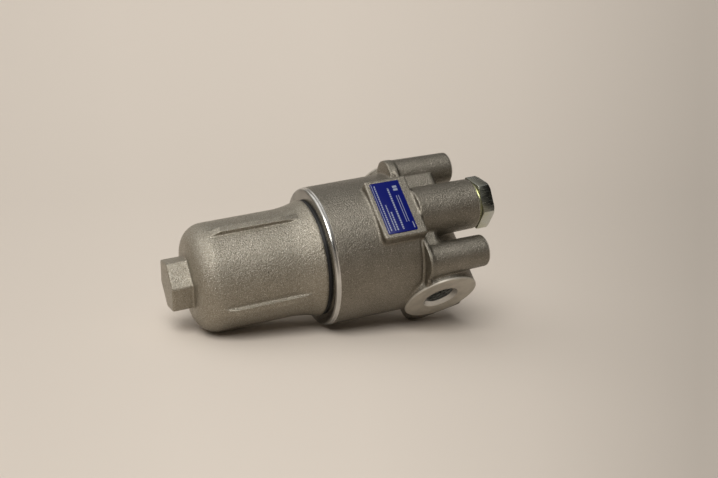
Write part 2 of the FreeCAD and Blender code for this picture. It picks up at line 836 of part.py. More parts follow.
def pleatedFace():
    # Radial folds between the core and the wrap, each a thin sheet of even thickness.
    inner = d.coreRadius.number + d.seatClearance.number * 0.5
    outer = wrapInner.number - d.seatClearance.number * 0.5
    folds = int(d.pleatCount.number)
    half = d.pleatThickness.number
    rings = []
    for shrink in (0.0, half):
        points = []
        for index in range(2 * folds):
            radius = outer - shrink if index % 2 == 0 else inner + half - shrink
            angle = math.pi * index / folds
            points.append(FreeCAD.Vector(
                lowCapTop.number, radius * math.cos(angle), radius * math.sin(angle)))
        points.append(points[0])
        rings.append(Part.Wire(Part.makePolygon(points).Edges))
    return Part.Face(rings[0]).cut(Part.Face(rings[1]))


pleats = doc.addObject("Part::Feature", "element_pleats")
pleats.Label = "element_pleats"
pleatRun = capUnder.number - lowCapTop.number
pleatSheet = pleatedFace().extrude(FreeCAD.Vector(pleatRun, 0, 0))
pleats.Shape = pleatSheet.Solids[0]
pieces.append((pleats, 0.0))

# Bypass valve between inlet and outlet, on the ports' axis

seatTop = -d.valveShoulder + d.seatThickness
portRing("bypass_seat", [
    (d.valveHole, -d.valveShoulder),
    (d.valveBore, -d.valveShoulder),
    (d.valveBore, seatTop),
    (d.valveHole, seatTop),
])
poppetTop = seatTop + d.poppetThickness
portRing("bypass_poppet", [
    (zero, seatTop),
    (d.poppetRadius, seatTop),
    (d.poppetRadius, poppetTop),
    (d.stemRadius, poppetTop),
    (d.stemRadius, d.stemReach),
    (zero, d.stemReach),
])
cage = portRing("bypass_cage", [
    (d.stemRadius + d.threadClearance, d.cageFrom),
    (d.valveBore, d.cageFrom),
    (d.valveBore, clipFrom),
    (d.stemRadius + d.threadClearance, clipFrom),
])
cageHoles = []
for index in range(4):
    angle = math.radians(45 + 90 * index)
    cageHoles.append((d.portAxis + d.cageHolePitch * math.cos(angle),
                      d.cageHolePitch * math.sin(angle), d.cageHoleRadius))
cageSketch = circles(cage, "cage_hole_outlines", "XZ_Plane", cageHoles)
pushed(cage, "cage_holes", cageSketch, clipFrom * 2.2, "Pocket", bothWays=True)

clipAngle = Size(360.0, "360") - d.clipGap
portRing("bypass_retaining_ring", [
    (d.valveBore - d.clipThickness, clipFrom),
    (d.valveBore + d.clipDepth, clipFrom),
    (d.valveBore + d.clipDepth, clipTo),
    (d.valveBore - d.clipThickness, clipTo),
], clipAngle)

spring = doc.addObject("Part::Feature", "bypass_spring")
spring.Label = "bypass_spring"
# The spring is coiled from square wire, on a helix between the poppet and the cage.
wire = d.springWire.number
springRun = d.cageFrom.number - poppetTop.number - 2 * wire
pitch = springRun / d.springTurns.number
helix = Part.makeHelix(pitch, springRun, d.springRadius.number)
inner, outer = d.springRadius.number - wire, d.springRadius.number + wire
section = Part.Wire(Part.makePolygon([
    FreeCAD.Vector(x, 0, z) for x, z in (
        (inner, -wire), (outer, -wire), (outer, wire), (inner, wire), (inner, -wire))]).Edges)
coil = Part.Wire(helix).makePipeShell([section], True, True)
toPortAxis = FreeCAD.Placement(
    FreeCAD.Vector(d.portAxis.number, poppetTop.number + wire, 0),
    FreeCAD.Rotation(FreeCAD.Vector(1, 0, 0), -90))
spring.Shape = coil.transformGeometry(toPortAxis.toMatrix())
pieces.append((spring, 0.0))

doc.recompute()

# Laying the filter down, with the origin under the middle of its box

roll = FreeCAD.Rotation(FreeCAD.Vector(1, 0, 0), d.restRoll.number)
for piece, turn in pieces:
    ownTurn = FreeCAD.Rotation(FreeCAD.Vector(1, 0, 0), numberOf(turn))
    piece.Placement = FreeCAD.Placement(FreeCAD.Vector(), roll.multiply(ownTurn))
doc.recompute()
whole = Part.makeCompound([piece.Shape for piece, turn in pieces])
box = whole.optimalBoundingBox(False, False)
base = FreeCAD.Vector(-(box.XMin + box.XMax) / 2, -(box.YMin + box.YMax) / 2, -box.ZMin)
for piece, turn in pieces:
    piece.Placement = FreeCAD.Placement(base, piece.Placement.Rotation)
doc.recompute()

for item in doc.Objects:
    if "Invalid" in item.State or "Error" in item.State:
        raise RuntimeError(f"{item.Name} failed: {item.State}")
os.makedirs("parts", exist_ok=True)
for piece, turn in pieces:
    shape = piece.Shape
    if shape.isNull() or not shape.isValid():
        raise RuntimeError(f"{piece.Label} has no valid shape")
    print(f"{piece.Label}: {len(shape.Solids)} solid, {shape.Volume / 1000:.2f} cm3")
    shape.exportStep(f"parts/{piece.Label}.step")
print(f"box {box.XLength:.1f} x {box.YLength:.1f} x {box.ZLength:.1f}, base {base}")
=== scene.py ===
import math

import bmesh
import bpy
from mathutils import Matrix, Vector


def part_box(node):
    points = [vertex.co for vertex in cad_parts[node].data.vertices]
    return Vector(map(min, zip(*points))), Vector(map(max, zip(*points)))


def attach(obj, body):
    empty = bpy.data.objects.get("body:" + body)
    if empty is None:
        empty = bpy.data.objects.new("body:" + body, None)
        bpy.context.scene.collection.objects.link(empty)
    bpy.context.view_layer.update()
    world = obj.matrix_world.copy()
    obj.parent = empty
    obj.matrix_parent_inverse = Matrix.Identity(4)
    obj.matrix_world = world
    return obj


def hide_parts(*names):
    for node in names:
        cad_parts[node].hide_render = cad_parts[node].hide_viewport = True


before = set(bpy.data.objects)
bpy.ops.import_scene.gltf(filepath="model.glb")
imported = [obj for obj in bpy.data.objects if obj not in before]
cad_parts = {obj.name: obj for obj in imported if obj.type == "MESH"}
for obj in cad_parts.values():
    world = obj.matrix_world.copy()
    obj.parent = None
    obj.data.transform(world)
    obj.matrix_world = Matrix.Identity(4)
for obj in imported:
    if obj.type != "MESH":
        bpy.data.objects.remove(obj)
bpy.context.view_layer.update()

# The filter's own frame, in millimetres: X along its axis from the head's turned rim towards
# the plugged indicator port, Z out of the label, the front port towards -Y.
restRoll = math.radians(47.5)
ringLow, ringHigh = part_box("bowl_dust_ring")
axisStart = Vector((ringHigh[0], (ringLow[1] + ringHigh[1]) / 2, (ringLow[2] + ringHigh[2]) / 2))
layDown = Matrix.Translation(axisStart) @ Matrix.Rotation(restRoll, 4, "X") @ Matrix.Scale(0.001, 4)
standUp = layDown.inverted()
portAxis = 75.8  # where the ports' axis crosses the filter's


def placed(x, y, z):
    return layDown @ Vector((x, y, z))


# Materials

def startMaterial(name, color, roughness, metallic=0.0):
    material = bpy.data.materials.new(name)
    material.use_nodes = True
    tree = material.node_tree
    shader = tree.nodes["Principled BSDF"]
    shader.inputs["Base Color"].default_value = (*color, 1.0)
    shader.inputs["Roughness"].default_value = roughness
    shader.inputs["Metallic"].default_value = metallic
    return material, tree, shader


def millimetres(tree, centre=(0, 0, 0), turn=(0, 0, 0), stretch=(1, 1, 1)):
    # Object coordinates in millimetres, centred on a point of the filter and turned with it.
    coordinates = tree.nodes.new("ShaderNodeTexCoord")
    mapping = tree.nodes.new("ShaderNodeMapping")
    mapping.vector_type = "TEXTURE"
    mapping.inputs["Location"].default_value = centre
    mapping.inputs["Rotation"].default_value = turn
    mapping.inputs["Scale"].default_value = [0.001 * value for value in stretch]
    tree.links.new(coordinates.outputs["Object"], mapping.inputs["Vector"])
    return mapping.outputs["Vector"]


def noise(tree, vector, scale, detail=3.0, roughness=0.6):
    node = tree.nodes.new("ShaderNodeTexNoise")
    node.inputs["Scale"].default_value = scale
    node.inputs["Detail"].default_value = detail
    node.inputs["Roughness"].default_value = roughness
    tree.links.new(vector, node.inputs["Vector"])
    return node.outputs["Fac"]


def ramp(tree, value, stops):
    node = tree.nodes.new("ShaderNodeValToRGB")
    while len(node.color_ramp.elements) < len(stops):
        node.color_ramp.elements.new(0.5)
    for element, (position, color) in zip(node.color_ramp.elements, stops):
        element.position = position
        element.color = (*color, 1.0)
    tree.links.new(value, node.inputs["Fac"])
    return node.outputs["Color"]


def grey(value):
    return (value, value, value)


def mathNode(tree, operation, first, second):
    node = tree.nodes.new("ShaderNodeMath")
    node.operation = operation
    for socket, value in zip(node.inputs, (first, second)):
        if isinstance(value, (int, float)):
            socket.default_value = value
        else:
            tree.links.new(value, socket)
    return node.outputs[0]


def mixColor(tree, amount, first, second, blend="MIX"):
    node = tree.nodes.new("ShaderNodeMix")
    node.data_type = "RGBA"
    node.blend_type = blend
    for socket, value in ((node.inputs[0], amount), (node.inputs[6], first), (node.inputs[7], second)):
        if isinstance(value, (int, float)):
            socket.default_value = value
        elif isinstance(value, tuple):
            socket.default_value = (*value, 1.0)
        else:
            tree.links.new(value, socket)
    return node.outputs[2]


def addBump(tree, shader, height, depth, strength=1.0, below=None):
    node = tree.nodes.new("ShaderNodeBump")
    node.inputs["Distance"].default_value = depth
    node.inputs["Strength"].default_value = strength
    tree.links.new(height, node.inputs["Height"])
    if below is not None:
        tree.links.new(below, node.inputs["Normal"])
    tree.links.new(node.outputs["Normal"], shader.inputs["Normal"])
    return node.outputs["Normal"]


def varyColor(tree, shader, value, stops):
    tree.links.new(ramp(tree, value, stops), shader.inputs["Base Color"])


def varyRoughness(tree, shader, value, low, high):
    # From low to high as the pattern's value goes from 0.3 to 0.7.
    tree.links.new(ramp(tree, value, [(0.3, grey(low)), (0.7, grey(high))]), shader.inputs["Roughness"])


def scaled(color, factor):
    return tuple(value * factor for value in color)


# The glint colour and the glints stops paint pale specks into the base colour: painted highlights.
castLook = {"color": (0.26, 0.236, 0.19), "pale": (0.315, 0.288, 0.236), "dark": (0.12, 0.105, 0.08),
            "glint": (0.72, 0.68, 0.6), "roughness": 0.38, "rougher": 0.12, "smoother": 0.06, "metallic": 1.0,
            "grain": 1.1, "grainDepth": 0.00048, "fineGrain": 2.1, "fineShare": 0.45,
            "patch": 0.05, "pit": 0.06, "specks": [(0.3, grey(0.45)), (0.48, grey(0.0))],
            "glints": [(0.52, grey(0.0)), (0.68, grey(0.7))],
            "pits": [(0.0, grey(0.0)), (0.02, grey(0.0)), (0.04, grey(1.0))]}
# The head's darker copy: partly its own tone, partly painted shade for light falling off towards the crown.
headLook = {**castLook, "color": (0.19, 0.172, 0.14), "pale": (0.24, 0.219, 0.181),
            "glint": (0.5, 0.47, 0.41), "grainDepth": 0.0004}


def makeCastAluminium(name, look=castLook):
    # Shot-blasted casting: a tight grain, a patchy tone, a few small pits and painted glints.
    material, tree, shader = startMaterial(name, look["color"], look["roughness"], look["metallic"])
    vector = millimetres(tree)
    grain = noise(tree, vector, look["grain"], detail=2.0, roughness=0.7)
    fine = noise(tree, vector, look["fineGrain"], detail=2.0)
    patches = noise(tree, vector, look["patch"], detail=4.0)
    pits = tree.nodes.new("ShaderNodeTexVoronoi")
    pits.inputs["Scale"].default_value = look["pit"]
    tree.links.new(vector, pits.inputs["Vector"])
    pitMask = ramp(tree, pits.outputs["Distance"], look["pits"])
    tone = ramp(tree, patches, [(0.32, look["color"]), (0.68, look["pale"])])
    specks = ramp(tree, grain, look["specks"])
    # Painted glints: pale specks in the base colour that stand in for sparkling highlights.
    glints = ramp(tree, fine, look["glints"])
    speckled = mixColor(tree, glints, mixColor(tree, specks, tone, look["dark"]), look["glint"])
    pitted = mixColor(tree, pitMask, look["dark"], speckled)
    tree.links.new(pitted, shader.inputs["Base Color"])
    varyRoughness(tree, shader, grain, look["roughness"] + look["rougher"],
                  look["roughness"] - look["smoother"])
    coarse = addBump(tree, shader, grain, look["grainDepth"])
    addBump(tree, shader, fine, look["grainDepth"] * look["fineShare"], below=coarse)
    return material


turnedLook = {"color": (0.62, 0.61, 0.58), "stain": 0.82, "stainScale": 0.12, "roughness": 0.18,
              "metallic": 1.0, "markPitch": 0.35, "markDepth": 0.000006}
portLook = {**turnedLook, "color": (0.52, 0.485, 0.42), "roughness": 0.42, "metallic": 0.5,
            "markPitch": 0.5, "markDepth": 0.000008}
# The rim face is polished and mirrors its surroundings; its darker colour is painted shade of the bowl-rim
# gap.
rimFaceLook = {**turnedLook, "color": (0.27, 0.26, 0.235), "roughness": 0.13, "markDepth": 0.000005}
waveLength = 0.314  # a Wave texture of scale 1 repeats after this length


def makeTurned(name, centre, direction, look=turnedLook, turn=(0, 0, 0)):
    # Tool marks run in rings round the axis that the surface was turned about.
    material, tree, shader = startMaterial(name, look["color"], look["roughness"], look["metallic"])
    vector = millimetres(tree, centre, turn)
    rings = tree.nodes.new("ShaderNodeTexWave")
    rings.wave_type = "RINGS"
    rings.rings_direction = direction
    rings.inputs["Scale"].default_value = waveLength / look["markPitch"]
    rings.inputs["Distortion"].default_value = 0.6
    rings.inputs["Detail"].default_value = 1.0
    tree.links.new(vector, rings.inputs["Vector"])
    stains = noise(tree, vector, look["stainScale"], detail=4.0)
    varyColor(tree, shader, stains, [(0.35, scaled(look["color"], look["stain"])), (0.62, look["color"])])
    varyRoughness(tree, shader, stains, look["roughness"] + 0.1, look["roughness"])
    addBump(tree, shader, rings.outputs["Fac"], look["markDepth"], 0.8)
    return material


def makePlain(name, color, roughness, metallic=0.0, grain=0.8, grainDepth=0.00002, spread=0.12):
    # One even tone that drifts a little up and down.
    material, tree, shader = startMaterial(name, color, roughness, metallic)
    vector = millimetres(tree)
    fine = noise(tree, vector, grain)
    cloud = noise(tree, vector, 0.09, roughness=0.55)
    varyColor(tree, shader, cloud, [(0.35, scaled(color, 1 - spread)), (0.65, scaled(color, 1 + spread))])
    varyRoughness(tree, shader, fine, roughness - 0.07, roughness + 0.07)
    addBump(tree, shader, fine, grainDepth, 0.7)
    return material


castAluminium = makeCastAluminium("castAluminium")
headAluminium = makeCastAluminium("headAluminium", headLook)
turnedRim = makeTurned("turnedRim", tuple(axisStart), "X")
turnedPort = makeTurned("turnedPort", tuple(placed(portAxis, 0, 0)), "Y", portLook, (restRoll, 0, 0))
polishedFace = makeTurned("polishedFace", tuple(axisStart), "X", rimFaceLook)
portThreadMetal = makePlain("portThreadMetal", (0.62, 0.63, 0.62), 0.3, 0.9, grain=0.6, grainDepth=0.00001,
                            spread=0.1)
rubber = makePlain("sealRubber", (0.008, 0.008, 0.009), 0.5, grain=1.2, spread=0.3)
whitePlastic = makePlain("backingPlastic", (0.78, 0.77, 0.72), 0.4)
elementPlastic = makePlain("elementPlastic", (0.05, 0.05, 0.055), 0.45, grain=1.0, spread=0.2)
turnedSteel = makePlain("turnedSteel", (0.55, 0.55, 0.54), 0.3, 1.0, grain=0.5, grainDepth=0.00001,
                        spread=0.08)
springSteel = makePlain("springSteel", (0.32, 0.32, 0.33), 0.35, 1.0, grainDepth=0.00001, spread=0.1)
filterPaper = makePlain("filterPaper", (0.72, 0.66, 0.5), 0.9, grain=1.6, grainDepth=0.00006, spread=0.08)

zincLook = {"color": (0.55, 0.565, 0.52), "yellow": (0.52, 0.53, 0.43), "roughness": 0.17,
            "bloom": 0.1, "scratch": 1.6}
yellowLook = {**zincLook, "color": (0.56, 0.56, 0.42), "yellow": (0.50, 0.50, 0.26), "roughness": 0.3}


def makeZincPlate(name, look=zincLook):
    # Clear passivated zinc with a faint yellow-green bloom.
    material, tree, shader = startMaterial(name, look["color"], look["roughness"], 1.0)
    vector = millimetres(tree)
    bloom = noise(tree, vector, look["bloom"])
    scratches = noise(tree, millimetres(tree, stretch=(6, 1, 1)), look["scratch"])
    varyColor(tree, shader, bloom, [(0.42, look["color"]), (0.66, look["yellow"])])
    varyRoughness(tree, shader, scratches, look["roughness"] - 0.06, look["roughness"] + 0.12)
    addBump(tree, shader, scratches, 0.00001, 0.6)
    return material


zincPlate = makeZincPlate("zincPlate")
zincYellow = makeZincPlate("zincYellow", yellowLook)

wrapLook = {"color": (0.62, 0.62, 0.60), "gap": (0.12, 0.11, 0.10), "roughness": 0.35, "wire": 1.1,
            "wireDepth": 0.0002}


def makeWovenWrap(name, look=wrapLook):
    # Woven wire round the filter element, with painted shade in the gaps between the wires.
    material, tree, shader = startMaterial(name, look["color"], look["roughness"], 1.0)
    vector = millimetres(tree, tuple(axisStart))
    weave = []
    for direction in ("X", "DIAGONAL"):
        wires = tree.nodes.new("ShaderNodeTexWave")
        wires.wave_type = "BANDS"
        wires.bands_direction = direction
        wires.inputs["Scale"].default_value = waveLength / look["wire"]
        tree.links.new(vector, wires.inputs["Vector"])
        weave.append(wires.outputs["Fac"])
    height = mathNode(tree, "MAXIMUM", weave[0], weave[1])
    varyColor(tree, shader, height, [(0.45, look["gap"]), (0.75, look["color"])])
    addBump(tree, shader, height, look["wireDepth"], 0.8)
    return material


wovenWrap = makeWovenWrap("wovenWrap")
print("materials made")


# Shapes

def finish(name, bm, body, material, replaced=(), smoothAngle=35.0, tidy=True):
    # Lays a mesh made in the filter's own frame down where the filter lies.
    bm.transform(layDown)
    if tidy:
        bmesh.ops.remove_doubles(bm, verts=bm.verts, dist=1e-6)
        bmesh.ops.recalc_face_normals(bm, faces=bm.faces)
    for face in bm.faces:
        face.smooth = True
    for edge in bm.edges:
        if len(edge.link_faces) == 2:
            edge.smooth = edge.calc_face_angle(0.0) < math.radians(smoothAngle)
    mesh = bpy.data.meshes.new(name)
    bm.to_mesh(mesh)
    bm.free()
    mesh.materials.append(material)
    piece = bpy.data.objects.new(name, mesh)
    bpy.context.scene.collection.objects.link(piece)
    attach(piece, body)
    if replaced:
        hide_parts(*replaced)


def turnedAbout(bm, profile, along="X", centre=(0, 0, 0), steps=128, lead=0.0):
    # Spins an outline of (distance along the axis, radius) round the axis through the centre.
    axis = Vector((1, 0, 0)) if along == "X" else Vector((0, 1, 0))
    side = Vector((0, 0, 1))
    middle = Vector(centre)
    verts = [bm.verts.new(middle + axis * place + side * radius) for place, radius in profile]
    edges = [bm.edges.new(pair) for pair in zip(verts, verts[1:])]
    bmesh.ops.spin(bm, geom=verts + edges, cent=middle, axis=axis, dvec=axis * (lead / steps),
                   angle=math.tau, steps=steps, use_merge=not lead)


threadShape = {"crestEnd": 0.12, "rootStart": 0.46, "rootEnd": 0.58, "crestStart": 0.92}  # in pitches


def threadProfile(start, end, pitch, crest, root):
    # Teeth of a thread from start to end, crest radius to root radius.
    points = []
    place = start
    while place < end - pitch * 0.5:
        points += [(place, crest),
                   (place + pitch * threadShape["crestEnd"], crest),
                   (place + pitch * threadShape["rootStart"], root),
                   (place + pitch * threadShape["rootEnd"], root),
                   (place + pitch * threadShape["crestStart"], crest)]
        place += pitch
    points.append((place, crest))
    return points


def solidCopy(node):
    # The node's solid as one merged mesh in the filter's own frame.
    bm = bmesh.new()
    bm.from_mesh(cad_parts[node].data)
    bm.transform(standUp)
    bmesh.ops.remove_doubles(bm, verts=bm.verts, dist=1e-4)
    return bm


def relax(bm, verts, rounds):
    for turn in range(rounds):
        bmesh.ops.smooth_vert(bm, verts=verts, factor=0.5, use_axis_x=True, use_axis_y=True, use_axis_z=True)


def castSkin(node, grain, rounds):
    # Remeshes a solid evenly and relaxes it, so that every edge and root gets a cast radius.
    source = solidCopy(node)
    mesh = bpy.data.meshes.new("castSource")
    source.to_mesh(mesh)
    source.free()
    helper = bpy.data.objects.new("castSource", mesh)
    bpy.context.scene.collection.objects.link(helper)
    remesh = helper.modifiers.new("remesh", "REMESH")
    remesh.mode = "VOXEL"
    remesh.voxel_size = grain
    depsgraph = bpy.context.evaluated_depsgraph_get()
    evaluated = bpy.data.meshes.new_from_object(helper.evaluated_get(depsgraph))
    bm = bmesh.new()
    bm.from_mesh(evaluated)
    bpy.data.objects.remove(helper)
    bpy.data.meshes.remove(mesh)
    bpy.data.meshes.remove(evaluated)
    relax(bm, bm.verts[:], rounds)
    return bm


def easeFolds(bm, sharpest, rings, rounds, region):
    # Smooths the folds that are still sharp in one region of a skin.
    bm.normal_update()
    folds = set()
    for edge in bm.edges:
        if region(edge.verts[0].co) and len(edge.link_faces) == 2:
            if edge.calc_face_angle(0.0) > math.radians(sharpest):
                folds |= set(edge.verts)
    for ring in range(rings):
        folds |= {edge.other_vert(vert) for vert in folds for edge in vert.link_edges}
    relax(bm, list(folds), rounds)


def cutAt(bm, point, normal, faces=None):
    # Removes what lies on the normal's side of a plane, of all faces or of the given ones.
    faces = faces or bm.faces[:]
    edges = dict.fromkeys(edge for face in faces for edge in face.edges)
    verts = dict.fromkeys(vert for face in faces for vert in face.verts)
    bmesh.ops.bisect_plane(bm, geom=[*verts, *edges, *faces], plane_co=point, plane_no=normal,
                           clear_outer=True)


def dropFaces(bm, test):
    faces = [face for face in bm.faces if test(face.calc_center_median())]
    bmesh.ops.delete(bm, geom=faces, context="FACES")


# Head: the cast skin outside, the machined faces and threads, and the plain bores inside

headSize = {"grain": 0.7, "rounds": 2, "skinStart": 3.2,
            "bores": [(19.2, 39.0), (46.0, 35.5), (70.0, 13.5)],  # up to a place on the axis, within a radius
            "drillEnd": 76.0, "drillSide": 23.5, "drill": 8.5, "wallStart": 18.9, "wallSide": 31.2}
portSize = {"reach": 47.0, "radius": 24.7, "edge": 0.35, "rimDepth": 1.3,
            "skinDepth": 0.9, "skinReach": 3.0, "skinGap": 0.3, "mouth": 11.9, "countersink": 2.6,
            "minor": 9.315, "toothHeight": 1.05, "pitch": 1.814, "depth": 16.0, "bore": 14.0, "boreEnd": 95.0}
bossSize = {"centres": [(-32.5, 28.0), (-32.5, -28.0), (32.5, 28.0), (32.5, -28.0)], "end": 102.8,
            "labelRadius": 10.25, "farRadius": 10.3, "mouth": 5.35, "throat": 4.9, "crest": 4.25, "root": 5.1,
            "pitch": 1.5, "depth": 20.0, "faceReach": 9.4, "holeReach": 6.5, "holeStart": 80.5}
indicatorSize = {"end": 104.6, "height": 32.6, "radius": 16.25, "mouth": 10.6, "faceReach": 15.2,
                 "holeReach": 12.5, "holeStart": 88.0}
faceDepth = 0.7  # a skin this close to a boss's end is left to the machined face
foldZone = {"start": 50, "end": 100, "below": -5, "side": 42, "axisGap": 24, "portGap": 16,
            "sharpest": 30, "rings": 3, "rounds": 10}


def portDistance(point):
    return math.hypot(point.x - portAxis, point.z)


def axisDistance(point):
    return math.hypot(point.y, point.z)


def insideHead(point):
    # True on the walls of the bores, which are either left plain or cut with a thread.
    if any(point.x < end and axisDistance(point) < radius for end, radius in headSize["bores"]):
        return True
    drillDistance = math.hypot(point.y + headSize["drillSide"], point.z)
    if point.x < headSize["drillEnd"] and drillDistance < headSize["drill"]:
        return True
    return portDistance(point) < portSize["bore"] and point.x < portSize["boreEnd"]


def insideEnd(point, size, centres):
    # True on a machined end face and in the hole behind it.
    reach = size["faceReach"] if point.x > size["end"] - faceDepth else size["holeReach"]
    near = any(math.hypot(point.y - y, point.z - z) < reach for y, z in centres)
    return near and point.x > size["holeStart"]


def insideBossEnd(point):
    return insideEnd(point, bossSize, bossSize["centres"])


def insideIndicator(point):
    return insideEnd(point, indicatorSize, [(0, indicatorSize["height"])])


def inFoldZone(point):
    # The hidden corner between the port tube and the crown.
    return (foldZone["start"] < point.x < foldZone["end"] and point.z < foldZone["below"]
            and abs(point.y) < foldZone["side"] and axisDistance(point) > foldZone["axisGap"]
            and portDistance(point) > foldZone["portGap"])


head = castSkin("head_casting", headSize["grain"], headSize["rounds"])
easeFolds(head, foldZone["sharpest"], foldZone["rings"], foldZone["rounds"], inFoldZone)
cutAt(head, (headSize["skinStart"], 0, 0), (-1, 0, 0))
for sign in (-1, 1):
    portEnd = [face for face in head.faces
               if sign * face.calc_center_median().y > portSize["reach"] - portSize["skinReach"]
               and portDistance(face.calc_center_median()) < portSize["radius"] + portSize["skinGap"]]
    cutAt(head, (0, sign * (portSize["reach"] - portSize["skinDepth"]), 0), (0, sign, 0), portEnd)
dropFaces(head, lambda point: insideHead(point) or insideBossEnd(point) or insideIndicator(point))
loose = [vert for vert in head.verts if not vert.link_faces]
bmesh.ops.delete(head, geom=loose, context="VERTS")
print("head skin faces", len(head.faces))
finish("head_cast_skin", head, "head", headAluminium, ("head_casting",),
       smoothAngle=80.0, tidy=False)

bores = solidCopy("head_casting")
walls = {face for face in bores.faces
         if all(insideHead(vert.co) and vert.co.x > headSize["wallStart"]
                and abs(vert.co.y) < headSize["wallSide"] for vert in face.verts)}
bmesh.ops.delete(bores, geom=[face for face in bores.faces if face not in walls], context="FACES")
finish("head_bores", bores, "head", turnedPort, smoothAngle=30.0)

rimSize = {"thread": 36.0, "pitch": 2.0, "depth": 1.1, "threadStart": 1.0, "threadEnd": 19.5, "land": 44.6,
           "step": 45.0, "stepEnd": 3.4, "stepStart": 3.05, "round": 1.8, "length": 2.6, "roundSteps": 8,
           "brightSteps": 3, "steps": 192}
rimStep = [(rimSize["stepEnd"], rimSize["step"] - 0.4), (rimSize["stepEnd"], rimSize["step"]),
           (rimSize["stepStart"], rimSize["step"]), (rimSize["length"], rimSize["land"])]
# The round's first steps take the bright turned look, the rest the rim face's look with its painted shade.
rimRound = []
for step in range(rimSize["roundSteps"] + 1):
    angle = math.radians(90 * step / rimSize["roundSteps"])
    rimRound.append((rimSize["round"] * (1 - math.sin(angle)),
                     rimSize["land"] - rimSize["round"] * (1 - math.cos(angle))))
rimMouth = [(0.0, 37.05), (1.05, 36.02), (3.0, 36.02)]
rim = bmesh.new()
turnedAbout(rim, rimStep + rimRound[:rimSize["brightSteps"] + 1], steps=rimSize["steps"])
finish("head_turned_rim", rim, "head", turnedRim)
rimFace = bmesh.new()
turnedAbout(rimFace, rimRound[rimSize["brightSteps"]:] + rimMouth, steps=rimSize["steps"])
finish("head_rim_face", rimFace, "head", polishedFace)

bowlThread = bmesh.new()
bowlTeeth = threadProfile(rimSize["threadStart"], rimSize["threadEnd"], rimSize["pitch"], rimSize["thread"],
                          rimSize["thread"] + rimSize["depth"])
turnedAbout(bowlThread, bowlTeeth, steps=96, lead=rimSize["pitch"])
finish("head_bowl_thread", bowlThread, "head", turnedRim)

reach = portSize["reach"]
edge = portSize["radius"]
mouth = portSize["mouth"]
faceOutline = [(reach - portSize["rimDepth"], edge), (reach - portSize["edge"], edge),
               (reach, edge - portSize["edge"]), (reach, mouth + 0.25), (reach - 0.1, mouth)]
mouthOutline = [(reach - 0.1, mouth), (reach - 2.3, 9.6), (reach - portSize["countersink"], 9.35)]
portTeeth = threadProfile(reach - portSize["depth"], reach - portSize["countersink"], portSize["pitch"],
                          portSize["minor"], portSize["minor"] + portSize["toothHeight"])
floorOutline = [(reach - portSize["depth"] + 0.2, 10.3), (reach - portSize["depth"], 9.8),
                (reach - portSize["depth"], 8.0)]


def turnedPortPiece(bm, sign, outline, steps, lead=0.0):
    # Spins an outline about the ports' axis, towards the front with sign -1 and the rear with 1.
    turnedAbout(bm, [(sign * place, radius) for place, radius in outline], "Y", (portAxis, 0, 0), steps,
                lead * sign)


for side, sign in (("front", -1), ("rear", 1)):
    port = bmesh.new()
    turnedPortPiece(port, sign, faceOutline, 128)
    finish(f"port_{side}_face", port, "head", turnedPort)
    countersink = bmesh.new()
    turnedPortPiece(countersink, sign, mouthOutline, 96)
    finish(f"port_{side}_mouth", countersink, "head", turnedRim)
    portThread = bmesh.new()
    turnedPortPiece(portThread, sign, portTeeth, 72, portSize["pitch"])
    turnedPortPiece(portThread, sign, floorOutline, 72)
    finish(f"port_{side}_thread", portThread, "head", portThreadMetal)

bossHoles = bmesh.new()
end = bossSize["end"]
holeEnd = end - bossSize["depth"]
for y, z in bossSize["centres"]:
    radius = bossSize["labelRadius"] if z > 0 else bossSize["farRadius"]
    turnedAbout(bossHoles, [(end - 1.2, radius), (end - 0.6, radius - 0.2), (end - 0.15, radius - 0.7),
                            (end, radius - 1.2), (end, bossSize["mouth"]), (end - 0.9, bossSize["throat"]),
                            (end - 1.4, bossSize["throat"])], "X", (0, y, z), 64)
    turnedAbout(bossHoles, threadProfile(holeEnd + 0.2, end - 1.3, bossSize["pitch"], bossSize["crest"],
                                         bossSize["root"]), "X", (0, y, z), 32, bossSize["pitch"])
    turnedAbout(bossHoles, [(holeEnd + 0.5, 5.0), (holeEnd, bossSize["crest"]), (holeEnd, 0.0)],
                "X", (0, y, z), 32)
finish("boss_tapped_ends", bossHoles, "head", turnedPort)

indicatorSeat = bmesh.new()
end = indicatorSize["end"]
radius = indicatorSize["radius"]
turnedAbout(indicatorSeat, [(end - 1.4, radius), (end - 0.8, radius - 0.05), (end - 0.1, radius - 0.65),
                            (end, radius - 0.85), (end, indicatorSize["mouth"]), (end - 0.6, 10.02)],
            "X", (0, 0, indicatorSize["height"]), 96)
finish("indicator_seat", indicatorSeat, "head", turnedPort)
print("head dressed")

# Bowl

bowlSize = {"grain": 0.56, "rounds": 1, "flangeFace": -1.5, "flange": 37.15, "neck": 35.0, "crest": 35.95,
            "pitch": 2.0, "threadStart": 2.2, "threadEnd": 16.2, "pilot": 33.95, "pilotStart": 18.0,
            "groove": 31.4, "grooveStart": 20.0, "grooveEnd": 24.6, "end": 26.0, "bore": 29.6,
            "floor": -73.1, "floorRound": 8.0, "socket": 8.3, "socketFloor": -76.6, "steps": 160,
            "boreGap": 1.0, "floorGap": 0.9, "socketGap": 0.8}


def insideBowl(point):
    # True in the bore and in the element's socket below it.
    distance = axisDistance(point)
    boreFloor = bowlSize["floor"] - bowlSize["floorGap"]
    if distance < bowlSize["bore"] + bowlSize["boreGap"] and point.x > boreFloor:
        return True
    gap = bowlSize["socketGap"]
    return distance < bowlSize["socket"] + gap and point.x > bowlSize["socketFloor"] - gap


flangeFace = bowlSize["flangeFace"]
bowl = castSkin("bowl", bowlSize["grain"], bowlSize["rounds"])
cutAt(bowl, (flangeFace - 0.15, 0, 0), (1, 0, 0))
dropFaces(bowl, insideBowl)
print("bowl skin faces", len(bowl.faces))
finish("bowl_cast_skin", bowl, "bowl", castAluminium, ("bowl",),
       smoothAngle=80.0, tidy=False)

